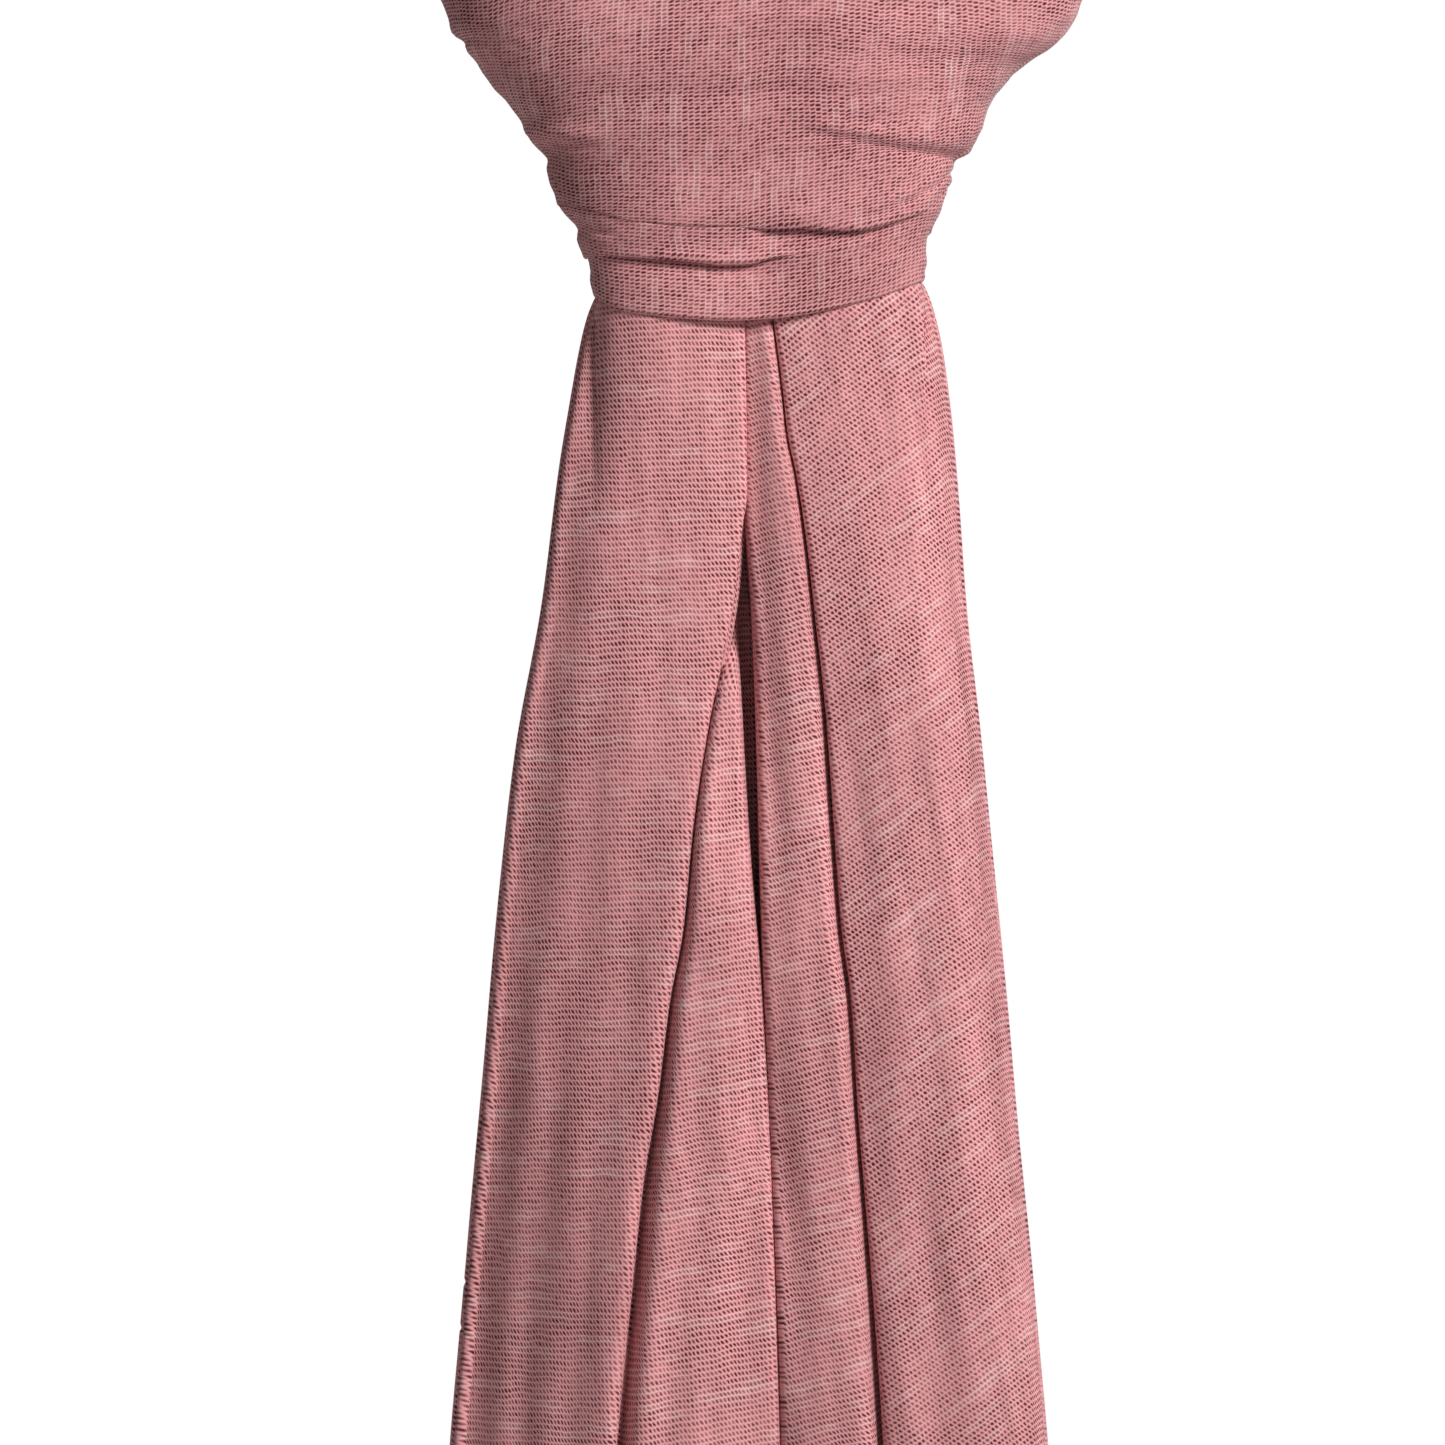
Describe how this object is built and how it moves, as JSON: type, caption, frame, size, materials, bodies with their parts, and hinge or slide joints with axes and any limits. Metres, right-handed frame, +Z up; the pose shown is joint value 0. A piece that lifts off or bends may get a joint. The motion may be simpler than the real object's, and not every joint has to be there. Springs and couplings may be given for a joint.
{
  "type": "baby wrap sling",
  "caption": "Long stretch-knit baby wrap, folded end to end and hitched over a rail, with two pleated tails that hang and swing below the hitch.",
  "frame": {"origin": "middle of the axis of the horizontal rail that the wrap is hitched over", "axes": "+X along the rail, to the right seen from the front; +Y to the back; +Z up; the tails hang along -Z"},
  "size_m": [0.213, 0.0623, 1.0273],
  "materials": {
    "rose_knit": "matte single-jersey knit in dusty rose, with slubs",
    "label_satin": "woven satin tape, off-white, blank"
  },
  "bodies": {
    "hitch": {"crossing_sheet": "rose_knit", "crossing_band": "rose_knit", "left_side_turn": "rose_knit", "left_back_leg": "rose_knit", "left_rail_turn": "rose_knit", "left_tail_head": "rose_knit", "right_side_turn": "rose_knit", "right_back_leg": "rose_knit", "right_rail_turn": "rose_knit", "right_tail_head": "rose_knit"},
    "left_neck": {"left_tail_neck": "rose_knit"},
    "left_tail": {"left_front_pleat": "rose_knit", "left_front_end": "rose_knit", "left_inner_pleat": "rose_knit", "left_inner_end": "rose_knit", "left_back_pleat": "rose_knit", "left_back_end": "rose_knit"},
    "right_neck": {"right_tail_neck": "rose_knit"},
    "right_tail": {"right_front_pleat": "rose_knit", "right_front_end": "rose_knit", "right_middle_pleat": "rose_knit", "right_middle_end": "rose_knit", "right_back_pleat": "rose_knit", "right_back_end": "rose_knit"},
    "care_label": {"care_label": "label_satin"},
    "centre_marker": {"centre_marker": "label_satin"}
  },
  "joints": [
    {"name": "left_tail_sway", "type": "hinge", "parent": "hitch", "child": "left_neck", "pos_m": [-0.0205, -0.002, -0.114], "axis": [0, 1, 0], "range_deg": [0, 20]},
    {"name": "left_tail_swing", "type": "hinge", "parent": "left_neck", "child": "left_tail", "pos_m": [-0.0205, -0.002, -0.114], "axis": [1, 0, 0], "range_deg": [-30, 30]},
    {"name": "right_tail_sway", "type": "hinge", "parent": "hitch", "child": "right_neck", "pos_m": [0.0205, -0.002, -0.114], "axis": [0, 1, 0], "range_deg": [-20, 0]},
    {"name": "right_tail_swing", "type": "hinge", "parent": "right_neck", "child": "right_tail", "pos_m": [0.0205, -0.002, -0.114], "axis": [1, 0, 0], "range_deg": [-30, 30]},
    {"name": "care_label_flap", "type": "hinge", "parent": "left_tail", "child": "care_label", "pos_m": [-0.052, 0.0129, -0.925], "axis": [1, 0, 0], "range_deg": [0, 80]},
    {"name": "centre_marker_flap", "type": "hinge", "parent": "right_tail", "child": "centre_marker", "pos_m": [0.084, 0.0129, -0.95], "axis": [1, 0, 0], "range_deg": [0, 80]}
  ]
}
